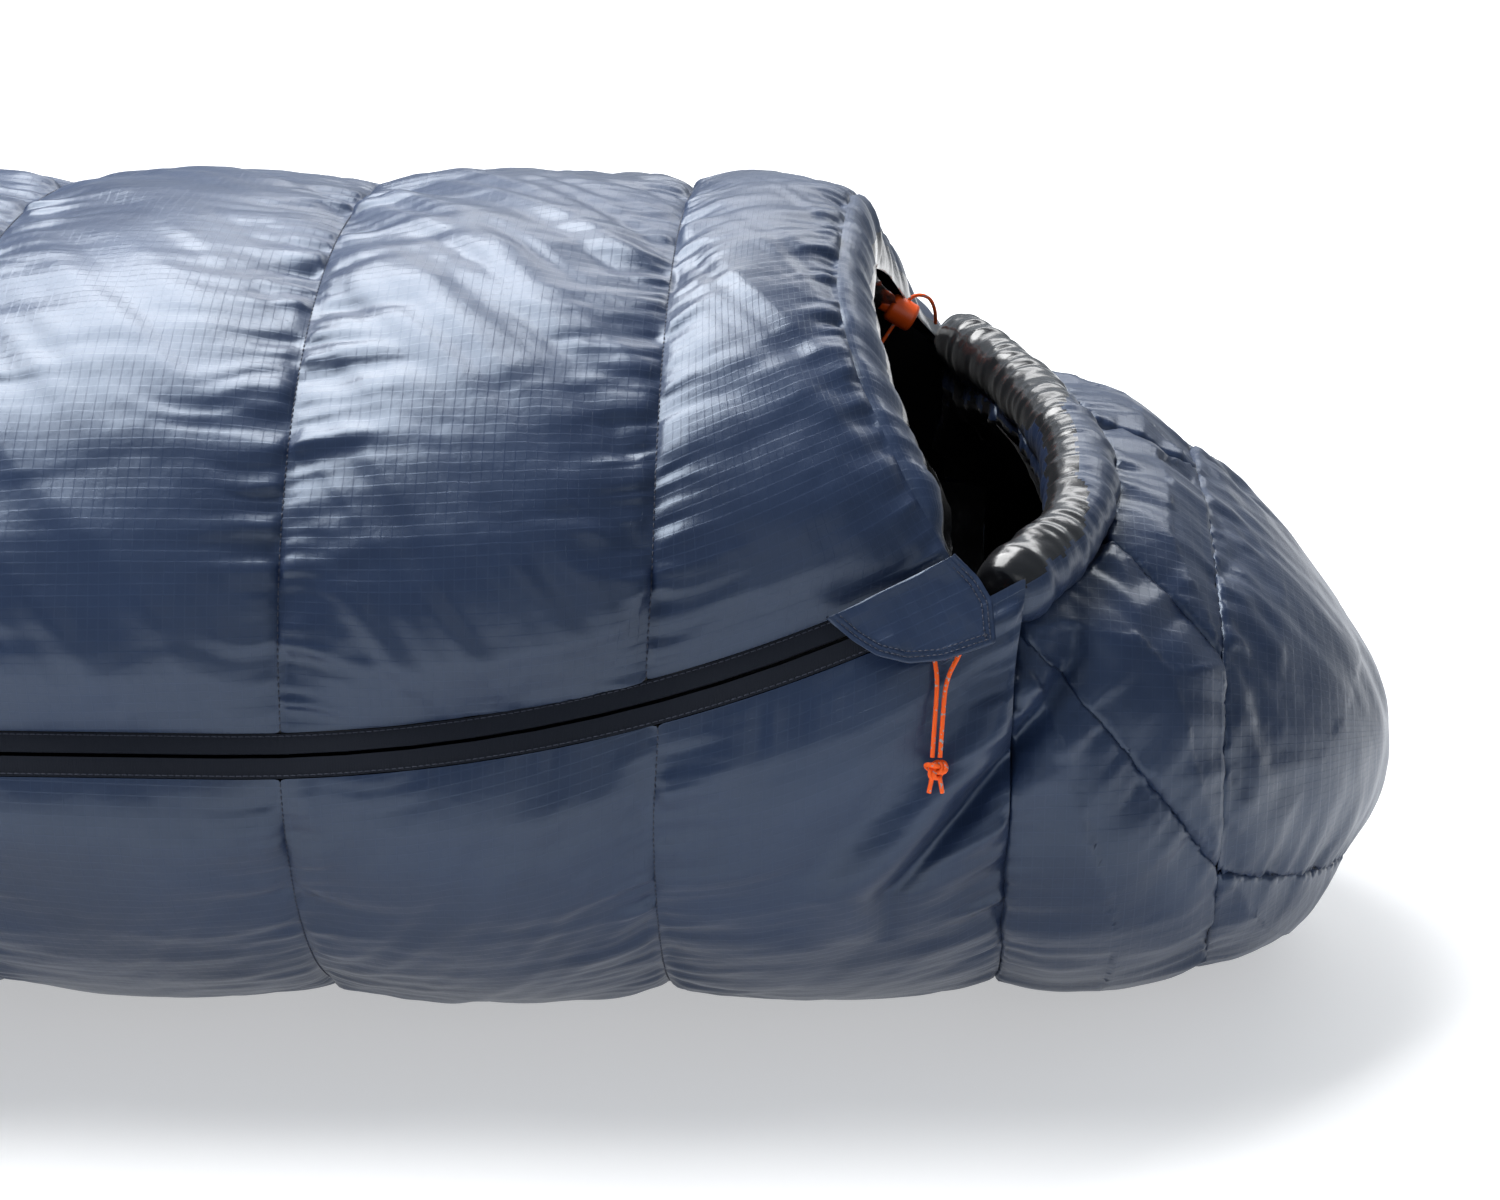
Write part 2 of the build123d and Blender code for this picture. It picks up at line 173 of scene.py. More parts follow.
# --- Quilted body, top and base ----------------------------------------------------------------
# Ripstop nylon shell over down, sewn through at baffles 175 mm apart. Each panel is cut longer
# than its seams, so it puffs in the middle and gathers into puckers where it is sewn.
HALF, TOP, MID, WALL = 0.292, 0.405, 0.197, 0.040
CHIN, NECK, SHOULDER, FOOT_SEAM = 0.790, 0.815, 0.560, -0.930
SEAMS = [0.645 - 0.175 * k for k in range(10)]
ZIP_START, ZIP_RADIUS, ZIP_GAP = 0.440, 0.750, 0.011
RISE = Vector((0, 0.479, 0.878))
OUTWARD = Vector((0, -0.878, 0.479))


def half_at(x):
    return HALF if x <= SHOULDER else HALF - 0.030 * ((x - SHOULDER) / (CHIN - SHOULDER)) ** 1.5


def beside_zip(x, off=0.0, out=0.0):
    """A point beside the middle of the zip: off towards the top quilt, out of the bag."""
    a = asin(max(0.0, x - ZIP_START) / ZIP_RADIUS)
    up = ZIP_RADIUS * (1 - cos(a)) + off * cos(a)
    return Vector((x - off * sin(a), -HALF, MID)) + RISE * up + OUTWARD * out


def across(x, top, inset=0.0, low=-0.005, count=160):
    """The line of the skin across the bag at x, from the zip to the far side."""
    half, high = half_at(x) - inset, TOP - MID - inset
    drop = MID - low - inset
    near = beside_zip(x, ZIP_GAP if top else -ZIP_GAP, -0.002 if inset else 0.0)
    if top:
        start = asin(min(1.0, ((near.z - MID) / high) ** 1.15))
        angles = np.linspace(start, pi, count)
        c, s = np.cos(angles), np.sin(angles)
        y = -half * np.sign(c) * np.abs(c) ** (1 / 1.15)
        z = MID + high * np.abs(s) ** (1 / 1.15)
    else:
        start = asin(max(-1.0, min(1.0, (near.z - MID) / drop)))
        angles = np.linspace(start, -pi, count)
        y, z = -half * np.cos(angles), np.maximum(MID + drop * np.sin(angles), 0.001 + inset)
    line = np.stack([np.full(count, x), y, z], 1)
    gone = np.r_[0, np.cumsum(np.linalg.norm(np.diff(line, axis=0), axis=1))]
    line += np.exp(-(gone / 0.035) ** 2)[:, None] * (np.array(near) - line[0])
    return line


def evenly(line, count):
    gone = np.r_[0, np.cumsum(np.linalg.norm(np.diff(line, axis=0), axis=1))]
    at = np.linspace(0, gone[-1], count)
    return np.stack([np.interp(at, gone, line[:, k]) for k in range(3)], 1), gone[-1]


def normals(grid):
    """Unit vectors square to a grid of points."""
    out = np.cross(np.gradient(grid, axis=0), np.gradient(grid, axis=1))
    return out / np.maximum(np.linalg.norm(out, axis=2, keepdims=True), 1e-12)


def grid_mesh(name, grid, flat=None, flip=False):
    rows, columns = grid.shape[:2]
    mesh = bpy.data.meshes.new(name)
    index = np.arange(rows * columns).reshape(rows, columns)
    quads = np.stack([index[:-1, :-1], index[1:, :-1], index[1:, 1:], index[:-1, 1:]], 2).reshape(-1, 4)
    if flip:
        quads = quads[:, ::-1]
    mesh.from_pydata(grid.reshape(-1, 3).tolist(), [], quads.tolist())
    mesh.polygons.foreach_set("use_smooth", [True] * len(mesh.polygons))
    if flat is not None:
        layer = mesh.uv_layers.new(name="cut")
        loops = np.empty(len(mesh.loops), int)
        mesh.loops.foreach_get("vertex_index", loops)
        layer.data.foreach_set("uv", flat.reshape(-1, 2)[loops].ravel())
    piece = bpy.data.objects.new(name, mesh)
    scene.collection.objects.link(piece)
    return piece


def points_of(piece):
    made = np.empty(len(piece.data.vertices) * 3)
    piece.data.vertices.foreach_get("co", made)
    return made.reshape(-1, 3)


def puff_up(piece, rest, pinned, pressure, frames=22, quality=5, bend=0.05, stretch=14.0):
    """Blows a panel up from inside, with its seams held and its fabric cut to the lengths of rest."""
    group = piece.vertex_groups.new(name="sewn")
    group.add(np.flatnonzero(pinned).tolist(), 1.0, "REPLACE")
    piece.shape_key_add(name="Basis")
    cut = piece.shape_key_add(name="cut")
    cut.data.foreach_set("co", rest.ravel())
    cut.value = 0
    cloth = piece.modifiers.new("cloth", "CLOTH")
    settings = cloth.settings
    settings.quality, settings.mass, settings.air_damping = quality, 0.12, 3.0
    settings.tension_stiffness = settings.compression_stiffness = stretch
    settings.shear_stiffness, settings.bending_stiffness = 4.0, bend
    settings.vertex_group_mass, settings.pin_stiffness = "sewn", 1.0
    settings.rest_shape_key = cut
    settings.use_pressure, settings.uniform_pressure_force = True, pressure
    settings.effector_weights.gravity = 0
    cloth.collision_settings.use_collision = False
    cloth.point_cache.frame_start, cloth.point_cache.frame_end = 1, frames
    for step in range(1, frames + 1):
        scene.frame_set(step)
    done = bpy.data.meshes.new_from_object(piece.evaluated_get(bpy.context.evaluated_depsgraph_get()))
    piece.modifiers.clear()
    piece.shape_key_clear()
    old, name = piece.data, piece.data.name
    piece.data = done
    bpy.data.meshes.remove(old)
    done.name = name
    piece.vertex_groups.clear()
    scene.frame_set(1)


def lumps(points, size, seed):
    """Smooth chance heights from -1 to 1 at points in space, in lumps of one size."""
    table = np.random.default_rng(seed).uniform(-1, 1, 8192)
    cell = np.floor(points / size).astype(np.int64)
    p = points / size - cell
    p = p * p * (3 - 2 * p)
    total = 0.0
    for i in (0, 1):
        for j in (0, 1):
            for k in (0, 1):
                mark = (cell[..., 0] + i) * 7919 ^ (cell[..., 1] + j) * 104729 ^ (cell[..., 2] + k) * 1299709
                share = (np.where(i, p[..., 0], 1 - p[..., 0]) * np.where(j, p[..., 1], 1 - p[..., 1])
                         * np.where(k, p[..., 2], 1 - p[..., 2]))
                total = total + share * table[mark & 8191]
    return total


def crumple(u, v, wide, long, seed):
    """Chance heights from -1 to 1 over a flat piece, in patches wide by long."""
    a, b = np.broadcast_arrays(u / wide, v / long)
    return lumps(np.stack([a, b, 0 * a], -1), 1.0, seed)


def puckers(along, away, seed, fine=1.0):
    """Folds square to a seam: close and sharp at the stitches, fewer and softer further out."""
    away = np.maximum(away, 0)
    bent = along + 0.010 * crumple(along, away, 0.045, 0.050, seed) * np.clip(away / 0.03, 0, 1)
    close = crumple(bent, away, 0.0041, 0.050, seed + 1) * np.exp(-((away / 0.027) ** 1.4)) * fine
    middle = crumple(bent, away, 0.0078, 0.070, seed + 2) * np.exp(-((away / 0.046) ** 1.5))
    wide = crumple(bent, away, 0.016, 0.100, seed + 3) * np.exp(-((away / 0.075) ** 2))
    uneven = 0.65 + 0.35 * crumple(along, away, 0.060, 0.080, seed + 4)
    return (0.0013 * close + 0.0020 * middle + 0.0020 * wide) * uneven * np.clip(away / 0.003, 0.12, 1)


LOWEST, CUT_WIDER = 0.0006, 1.03


def quilt_panel(name, line_at, foot, head, top, fine, gather, pressure, twist=0.0, seed=1, shape=None,
                drape=0.001):
    """One panel between two seams, as it lies after it is blown up."""
    rows = max(8, round((head - foot) / (0.0046 if fine else 0.0075)))
    middle = evenly(line_at(0.5), 10)[1]
    columns = round(middle / (0.0031 if fine else 0.006))
    pairs = [evenly(line_at(k / rows), columns + 1) for k in range(rows + 1)]
    grid = np.array([line for line, length in pairs])
    if shape is not None:
        grid = shape(grid)
    out = normals(grid)
    if (out[rows // 2, columns // 2, 2] > 0) != top:
        out = -out
    v, u = np.linspace(0, 1, rows + 1)[:, None], np.linspace(0, 1, columns + 1)[None, :]
    along, wide = u * middle, head - foot
    edge = np.clip(along / 0.03, 0, 1)
    seeded = puckers(along, v * wide, seed, 0) + puckers(along, (1 - v) * wide, seed + 50, 0)
    rise = 0.011 * (4 * v * (1 - v)) ** 0.7 * edge + seeded * edge * (v > 0) * (v < 1) * 1.2
    start = grid + out * rise[:, :, None]
    start[:, :, 2] = np.maximum(start[:, :, 2], LOWEST)
    cut_u, cut_v = along * (1 + gather) + twist * v, v * wide * CUT_WIDER + 0 * u
    rest = np.stack([cut_v, cut_u + 0 * v, 0 * cut_v], 2)
    flat = np.stack([cut_v + foot, cut_u + 0 * v], 2)
    piece = grid_mesh(name, start, flat, flip=not top)
    held = np.zeros((rows + 1, columns + 1), bool)
    held[0], held[-1], held[:, 0], held[:, -1] = True, True, True, True
    puff_up(piece, rest.reshape(-1, 3), held.ravel(), pressure)
    if fine:
        piece.modifiers.new("finer", "SUBSURF").levels = 1
        done = bpy.data.meshes.new_from_object(piece.evaluated_get(bpy.context.evaluated_depsgraph_get()))
        piece.modifiers.clear()
        old = piece.data
        piece.data = done
        bpy.data.meshes.remove(old)
        done.name = name
    gather_up(piece, wide, foot, seed, drape)
    if not top and head == NECK:
        points = points_of(piece)
        piece.data.vertices.foreach_set("co", crease(points).ravel())
    return piece


def crease(points):
    """A deep slanting fold on the near side, where the base quilt bulges over the hood."""
    along_z = np.clip((points[:, 2] - 0.118) / 0.112, 0, 1)
    line = 0.752 + 0.088 * along_z
    off = (points[:, 0] - line) * 0.78
    level = np.sin(pi * np.clip((points[:, 2] - 0.085) / 0.175, 0, 1)) ** 0.7
    near = np.clip((-0.12 - points[:, 1]) / 0.06, 0, 1) * level

    def fold_at(height, place, width):
        return height * np.exp(-(((off - place) / width) ** 2))

    ridge = fold_at(0.0105, -0.012, 0.012) - fold_at(0.0110, 0.004, 0.006)
    soft = fold_at(0.0040, 0.022, 0.011) - fold_at(0.0030, -0.036, 0.012)
    points[:, 1] -= (ridge + soft) * near
    return points


def gather_up(piece, wide, foot, seed, drape):
    """Adds the closest puckers at both seams, and long folds that lie slantwise across the panel."""
    mesh = piece.data
    cut = np.empty(len(mesh.loops) * 2)
    mesh.uv_layers["cut"].data.foreach_get("uv", cut)
    loops = np.empty(len(mesh.loops), int)
    mesh.loops.foreach_get("vertex_index", loops)
    flat = np.zeros((len(mesh.vertices), 2))
    flat[loops] = cut.reshape(-1, 2)
    way = np.empty(len(mesh.vertices) * 3)
    mesh.vertices.foreach_get("normal", way)
    away, along = np.clip(flat[:, 0] - foot, 0, None), flat[:, 1]
    other = np.clip(wide * CUT_WIDER - away, 0, None)
    lift = puckers(along, away, seed + 7) + puckers(along, other, seed + 57)
    lift *= np.clip(np.minimum(away, other) / 0.002, 0, 1) * np.clip(along / 0.012, 0, 1)
    from_seam = np.minimum(away, other)
    beside = np.clip((along - 0.003) / 0.012, 0, 1) * np.clip(from_seam / 0.008, 0, 1)
    lift += puckers(away + 0 * along, along, seed + 83) * 0.45 * beside
    slant, across_it = away * 0.62 - along * 0.78, away * 0.78 + along * 0.62
    wander = 0.01 * crumple(away, along, 0.08, 0.08, seed + 3)
    fold = crumple(across_it + wander, slant, 0.021, 0.15, seed + 4)
    fold = fold + 0.4 * crumple(across_it, slant, 0.010, 0.09, seed + 5)
    lift += drape * fold * np.clip(along / 0.05, 0, 1) * np.clip(from_seam / 0.02, 0, 1)
    moved = points_of(piece) + way.reshape(-1, 3) * lift[:, None]
    moved[:, 2] = np.maximum(moved[:, 2], LOWEST)
    mesh.vertices.foreach_set("co", moved.ravel())
    mesh.update()


def chin_limit(y, z):
    """How far towards the head the top quilt reaches: further back on the side with the zip."""
    near = np.interp(z, (0.285, 0.319, 0.359, 0.390), (CHIN, 0.763, 0.736, 0.722))
    far = np.interp(z, (0.285, 0.314, 0.346, 0.380, 0.450), (CHIN, 0.767, 0.758, 0.743, 0.736))
    return near + (far - near) * np.clip((y + 0.3) / 0.6, 0, 1)


def chin_shape(grid):
    """Leans the head end of the first panel back over the face."""
    far = chin_limit(grid[:, :, 1], grid[:, :, 2])
    grid[:, :, 0] = SEAMS[0] + (grid[:, :, 0] - SEAMS[0]) * (far - SEAMS[0]) / (CHIN - SEAMS[0])
    return grid


def foot_line(v, top, inset=0.0):
    """The foot end closes round its corners to the zip."""
    line = across(FOOT_SEAM, top, inset)
    turn = max(0.0, (v - 0.18) / 0.82) * pi / 2
    out = min(v / 0.18, 1) * 0.025 + 0.070 * sin(turn)
    line[:, 0] = FOOT_SEAM - out * (0.095 - inset) / 0.095
    line[:, 1] *= (0.222 + 0.070 * cos(turn)) / 0.292
    line[:, 2] = line[0, 2] + (line[:, 2] - line[0, 2]) * max(cos(turn), 0.0) ** 0.75
    return line


def ripstop(name, colour, deep, roughness):
    """Calendered nylon with a thicker thread every 5 mm both ways."""
    paint = Paint(name, colour, roughness)
    place = paint.node("ShaderNodeUVMap", uv_map="cut").outputs["UV"]
    split = paint.node("ShaderNodeSeparateXYZ")
    paint.join(place, split.inputs[0])
    pitch, lines = 0.0052, None
    for axis in (0, 1):
        cell = paint.sum(paint.sum(split.outputs[axis], 1 / pitch, "MULTIPLY"), 1.0, "FRACT")
        line = paint.range(cell, 0.0, 0.13, 1.0, 0.0)
        lines = line if lines is None else paint.sum(lines, line, "MAXIMUM")
    where = paint.coordinates()
    cloud = paint.noise(where, 9.0, 4.0)
    thread = paint.noise(where, 1400.0, 1.0)
    tone = paint.mix(paint.range(cloud, 0.3, 0.7, 0, 1), deep, colour)
    lit = paint.mix(paint.sum(lines, 0.16, "MULTIPLY"), tone, tuple(c * 1.9 + 0.01 for c in colour))
    paint.join(lit, paint.skin.inputs["Base Color"])
    rough = paint.range(cloud, 0.25, 0.75, roughness - 0.05, roughness + 0.06)
    paint.join(rough, paint.skin.inputs["Roughness"])
    paint.raise_by(paint.noise(where, 60.0, 3.0), 0.0011, 0.55)
    paint.raise_by(lines, 0.00012, 0.6)
    paint.raise_by(thread, 0.00006, 0.35)
    paint.skin.inputs["Sheen Weight"].default_value = 0.02
    paint.skin.inputs["Sheen Roughness"].default_value = 0.45
    paint.skin.inputs["Coat Weight"].default_value = 0.16
    paint.skin.inputs["Coat Roughness"].default_value = 0.26
    paint.skin.inputs["Specular IOR Level"].default_value = 0.50
    paint.skin.inputs["Specular Tint"].default_value = (0.70, 0.84, 1.0, 1)
    paint.skin.inputs["Coat Tint"].default_value = (0.80, 0.90, 1.0, 1)
    return paint.made


SHELL, SHELL_DEEP = (0.011, 0.022, 0.056), (0.007, 0.014, 0.038)
shell = ripstop("ripstop_shell", SHELL, SHELL_DEEP, 0.37)


def set_paint(piece, *paints):
    piece.data.materials.clear()
    for paint in paints:
        piece.data.materials.append(paint)


def plain_line(top, foot, head):
    return lambda v: across(foot + (head - foot) * v, top)


edges = [CHIN] + SEAMS
for top, side in ((True, "top"), (False, "base")):
    edges[0] = CHIN if top else NECK
    kept = {}
    for k in range(10):
        foot, head, name = edges[k + 1], edges[k], f"{side}_quilt_{k + 1:02d}"
        if k < 4:
            gather, pressure = (0.066, 2.6) if top else (0.045, 1.6)
            twist = (0.0, 0.016, -0.004, 0.006)[k]
            drape = (0.0012, 0.0034, 0.0018, 0.0012)[k] * (1 if top else 0.5)
            seed = 11 + 10 * k + (5 if top else 0)
            shape = chin_shape if top and k == 0 else None
            fine = k < 3 or top
            piece = quilt_panel(name, plain_line(top, foot, head), foot, head, top, fine, gather, pressure,
                                twist, seed, shape, drape)
            kept[k] = piece
        else:
            # The rest are cut from the third and fourth; three of them lie the other way round
            source = kept[2 + k % 2]
            piece = bpy.data.objects.new(name, source.data.copy())
            scene.collection.objects.link(piece)
            piece.data.name = name
            where = points_of(piece)
            if k in (5, 6, 9):
                centre = (SEAMS[1 + k % 2] + SEAMS[2 + k % 2]) / 2
                where[:, 0] = 2 * centre - where[:, 0]
                piece.data.flip_normals()
            where[:, 0] += edges[k + 1] - SEAMS[2 + k % 2]
            piece.data.vertices.foreach_set("co", where.ravel())
        set_paint(piece, shell)
        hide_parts(f"{side}_baffle_{k + 1:02d}")
        if top:
            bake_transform(piece)
        else:
            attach(piece, "root")
    end = quilt_panel(f"{side}_foot_end", lambda v: foot_line(v, top), FOOT_SEAM, FOOT_SEAM + 0.135, top,
                      False, 0.04, 0.9, 0, 90)
    set_paint(end, shell)
    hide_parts(f"{side}_foot")
    if top:
        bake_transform(end)
    else:
        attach(end, "root")

# --- Sewn seams of the body --------------------------------------------------------------------
# Navy thread through shell and netting, a stitch every 3.4 mm towards the head and 4.8 mm towards
# the foot. Each stitch is pulled down into the groove between two panels.
def tube_mesh(line, radius, around=8, swell=None):
    """The points and faces of a closed round tube along a line."""
    line = np.asarray(line, float)
    ahead = np.gradient(line, axis=0)
    ahead /= np.linalg.norm(ahead, axis=1)[:, None]
    side = np.cross(ahead[0], (0, 0, 1) if abs(ahead[0][2]) < 0.8 else (0, 1, 0))
    sides = []
    for way in ahead:
        side = side - way * (side @ way)
        side = side / np.linalg.norm(side)
        sides.append(side)
    sides = np.array(sides)
    ups = np.cross(ahead, sides)
    turn = np.linspace(0, 2 * pi, around, endpoint=False)
    ring = np.cos(turn)[None, :, None] * sides[:, None] + np.sin(turn)[None, :, None] * ups[:, None]
    size = radius if swell is None else radius * swell(line, ring)[:, :, None]
    points = (line[:, None] + ring * size).reshape(-1, 3)
    count = len(line)
    faces = []
    for k in range(count - 1):
        here, there = k * around, (k + 1) * around
        for j in range(around):
            on = (j + 1) % around
            faces.append((here + j, here + on, there + on, there + j))
    faces += [tuple(range(around))[::-1], tuple((count - 1) * around + j for j in range(around))]
    return points, faces


def joined(name, parts, paint, smooth=True):
    """One object from several lots of points and faces."""
    points, faces = [], []
    for some, more in parts:
        start = sum(len(p) for p in points)
        points.append(np.asarray(some))
        faces += [tuple(start + k for k in face) for face in more]
    mesh = bpy.data.meshes.new(name)
    mesh.from_pydata(np.concatenate(points).tolist(), [], faces)
    mesh.polygons.foreach_set("use_smooth", [smooth] * len(faces))
    made = bpy.data.objects.new(name, mesh)
    scene.collection.objects.link(made)
    set_paint(made, paint)
    return made


def stitches(line, out, length=0.0026, pitch=0.0034, thick=0.00028, lift=0.0002):
    """Short lengths of thread laid along a line, each dipping into the cloth at both ends."""
    gone = np.r_[0, np.cumsum(np.linalg.norm(np.diff(line, axis=0), axis=1))]
    parts = []
    for start in np.arange(0.002, gone[-1] - pitch, pitch):
        at = start + length * np.array([0, 0.25, 0.75, 1])
        spot = np.stack([np.interp(at, gone, line[:, k]) for k in range(3)], 1)
        way = np.stack([np.interp(at, gone, out[:, k]) for k in range(3)], 1)
        dip = lift + thick * np.array([-2.0, 0.6, 0.6, -2.0])
        parts.append(tube_mesh(spot + way * dip[:, None], thick, 4))
    return parts


def away_from(line, centre):
    out = line - centre
    out[:, 0] = 0
    return out / np.linalg.norm(out, axis=1)[:, None]


thread = Paint("navy_thread", (0.028, 0.034, 0.055), 0.55)
thread.raise_by(thread.noise(thread.coordinates(), 2600.0, 1.0), 0.00008)
for top, side in ((True, "top"), (False, "base")):
    parts = []
    for x in SEAMS:
        line = across(x, top)
        parts += stitches(line, away_from(line, np.array((x, 0, MID))), pitch=0.0034 if x > 0 else 0.0048)
    sewn = joined(f"{side}_seam_stitches", parts, thread.made)
    if top:
        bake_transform(sewn)
    else:
        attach(sewn, "root")

# --- Lining and baffle netting -----------------------------------------------------------------
# Black glossy taffeta inside, sewn through at the same seams as the shell, so it puffs inwards
# between them. Strips of netting hold the two apart at each seam.
lining = Paint("black_taffeta", (0.004, 0.0045, 0.006), 0.22)
lining.skin.inputs["Specular IOR Level"].default_value = 0.38
lining.raise_by(lining.noise(lining.coordinates(), 48.0, 4.0), 0.0016, 0.6)
lining.raise_by(lining.noise(lining.coordinates(), 1500.0, 1.0), 0.00005, 0.4)
lining.skin.inputs["Sheen Weight"].default_value = 0.05
lining.skin.inputs["Coat Weight"].default_value = 0.35
lining.skin.inputs["Coat Roughness"].default_value = 0.22
netting = Paint("black_netting", (0.008, 0.008, 0.010), 0.7)
netting.raise_by(netting.noise(netting.coordinates(), 900.0, 1.0), 0.0002)


LINING_WIDE, HALF_BAFFLE = 0.72, 0.0875


def lined(name, top, foot, head, seed, shape=None):
    """The lining from the foot to the head end in one grid."""
    stations = np.unique(np.r_[np.arange(foot, head, 0.0085), head])
    count = 130
    grid = np.array([evenly(across(x, top, WALL, low=0.0), count)[0] for x in stations])
    if shape is not None:
        grid = shape(grid)
    seams = np.array(SEAMS)
    near = seams[np.abs(stations[:, None] - seams[None]).argmin(1)]
    away = np.abs(stations - near)[:, None]
    along = np.linspace(0, LINING_WIDE, count)[None, :]
    out = normals(grid)
    if (out[len(stations) // 2, count // 2, 2] > 0) == top:
        out = -out
    puff = 0.0075 * np.clip(away / HALF_BAFFLE, 0, 1) ** 0.6 * np.clip(along / 0.03, 0, 1)
    puff = puff * np.clip((LINING_WIDE - along) / 0.03, 0, 1)
    rough = puckers(along + 0 * away, away + 0 * along, seed) * 1.5
    rough = rough + 0.0016 * crumple(along, stations[:, None], 0.035, 0.05, seed + 9)
    inside_edges = np.clip(along / 0.02, 0, 1) * np.clip((LINING_WIDE - along) / 0.02, 0, 1)
    made = grid + out * (puff + rough * inside_edges)[:, :, None]
    return grid_mesh(name, made, made[:, :, :2], flip=top)


def cut_at_chin(grid):
    """Ends the lining of the top quilt under the chin edge."""
    grid[:, :, 0] = np.minimum(grid[:, :, 0], chin_limit(grid[:, :, 1], grid[:, :, 2]))
    return grid


for top, side, head in ((True, "top", CHIN), (False, "base", NECK)):
    piece = lined(f"{side}_lining", top, FOOT_SEAM - 0.028, head, 300 + top, cut_at_chin if top else None)
    set_paint(piece, lining.made)
    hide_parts(f"lining_{side}")
    strips = []
    for x in SEAMS:
        outer = evenly(across(x, top, 0.0035, low=0.0), 90)[0]
        inner = evenly(across(x, top, WALL - 0.002, low=0.0), 90)[0]
        strip = np.concatenate([outer, (outer + inner) / 2 + (0.0015, 0, 0), inner])
        strips.append((strip, [(90 * r + k, 90 * r + k + 1, 90 * (r + 1) + k + 1, 90 * (r + 1) + k)
                               for r in (0, 1) for k in range(89)]))
    net = joined(f"{side}_netting", strips, netting.made)
    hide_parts(f"baffle_walls_{side}")
    for made in (piece, net):
        if top:
            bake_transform(made)
        else:
            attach(made, "root")

# --- Chin edge ---------------------------------------------------------------------------------
# The head end of the top quilt: shell rolled over the down and sewn to the lining on the inside.
rows, count = 12, 220
outer = chin_shape(evenly(across(CHIN, True), count)[0][None])[0]
inner = chin_shape(evenly(across(CHIN, True, WALL, low=0.0), count)[0][None])[0]
turn = np.linspace(0, pi, rows)[:, None, None]
roll = (outer + inner)[None] / 2 + (outer - inner)[None] / 2 * np.cos(turn)
out = np.array((0.93, 0, 0.36))
spread = np.linalg.norm(outer - inner, axis=1)[None, :, None]
farther = np.clip((outer[:, 1] - 0.04) / 0.12, 0, 1)[None, :, None]
roll = roll + out * np.sin(turn) * np.minimum(0.38 * spread, 0.010 - 0.007 * farther)
gone = np.r_[0, np.cumsum(np.linalg.norm(np.diff(outer, axis=0), axis=1))][None, :]
crush = puckers(gone + 0 * turn[:, :, 0], 0.004 + 0.03 * turn[:, :, 0] / pi + 0 * gone, 410) * 1.4
roll = roll + normals(roll) * (crush * np.sin(turn[:, :, 0]))[:, :, None]
flat = np.stack([gone + 0 * turn[:, :, 0], 0.03 * turn[:, :, 0] + 0 * gone], 2)
chin = grid_mesh("chin_edge", roll, flat, flip=False)
set_paint(chin, shell, lining.made)
lined_from = 6 * (count - 1)
for face in chin.data.polygons:
    face.material_index = 1 if face.index >= lined_from else 0
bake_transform(chin)

# --- Draft tubes -------------------------------------------------------------------------------
# Rolls of down in black taffeta, sewn inside the base quilt behind the zip and across the foot.
def gathered(line, ring):
    """Swelling of a soft tube: lumps of down, and gathers round it."""
    at = line[:, None] + ring * 0.01
    turns = lumps(line[:, None] * np.ones_like(ring), 0.0075, 501)
    return 1 + 0.07 * lumps(at, 0.045, 500) + 0.045 * turns + 0.02 * lumps(at, 0.006, 502)


bend = [beside_zip(x, 0, -0.054) for x in np.linspace(0.770, ZIP_START, 60)]
back = np.arange(ZIP_START - 0.006, -0.926, -0.006)
straight = [Vector((x, bend[-1].y, bend[-1].z)) for x in back]
side_line = [tuple(p) for p in bend + straight]
foot_line_in = [(-0.948, y, MID) for y in np.arange(-0.197, 0.198, 0.005)]
side_tube = joined("side_draft_tube", [tube_mesh(side_line, 0.0112, 24, gathered)], lining.made)
foot_tube = joined("foot_draft_tube", [tube_mesh(foot_line_in, 0.0108, 24, gathered)], lining.made)
for piece, node in ((side_tube, "draft_tube_side"), (foot_tube, "draft_tube_foot")):
    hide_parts(node)
    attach(piece, "root")

# --- Hood --------------------------------------------------------------------------------------
# Eight shaped pads of down, black inside, sewn edge to edge. Each swells between its seams and
# puckers along them.
PADS = ["hood_back", "hood_under", "hood_neck_near", "hood_neck_far", "hood_side_near", "hood_side_far",
        "hood_crown_near", "hood_crown_far"]


def surface_of(names):
    points, faces = [], []
    for node in names:
        start = len(points)
        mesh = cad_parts[node].data
        points += [v.co.copy() for v in mesh.vertices]
        faces += [tuple(start + k for k in p.vertices) for p in mesh.polygons]
    return BVHTree.FromPolygons(points, faces)


def remeshed(name, node, voxel):
    piece = bpy.data.objects.new(name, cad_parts[node].data.copy())
    scene.collection.objects.link(piece)
    modifier = piece.modifiers.new("even", "REMESH")
    modifier.mode, modifier.voxel_size, modifier.use_smooth_shade = "VOXEL", voxel, True
    done = bpy.data.meshes.new_from_object(piece.evaluated_get(bpy.context.evaluated_depsgraph_get()))
    piece.modifiers.clear()
    piece.data = done
    done.name = name
    return piece


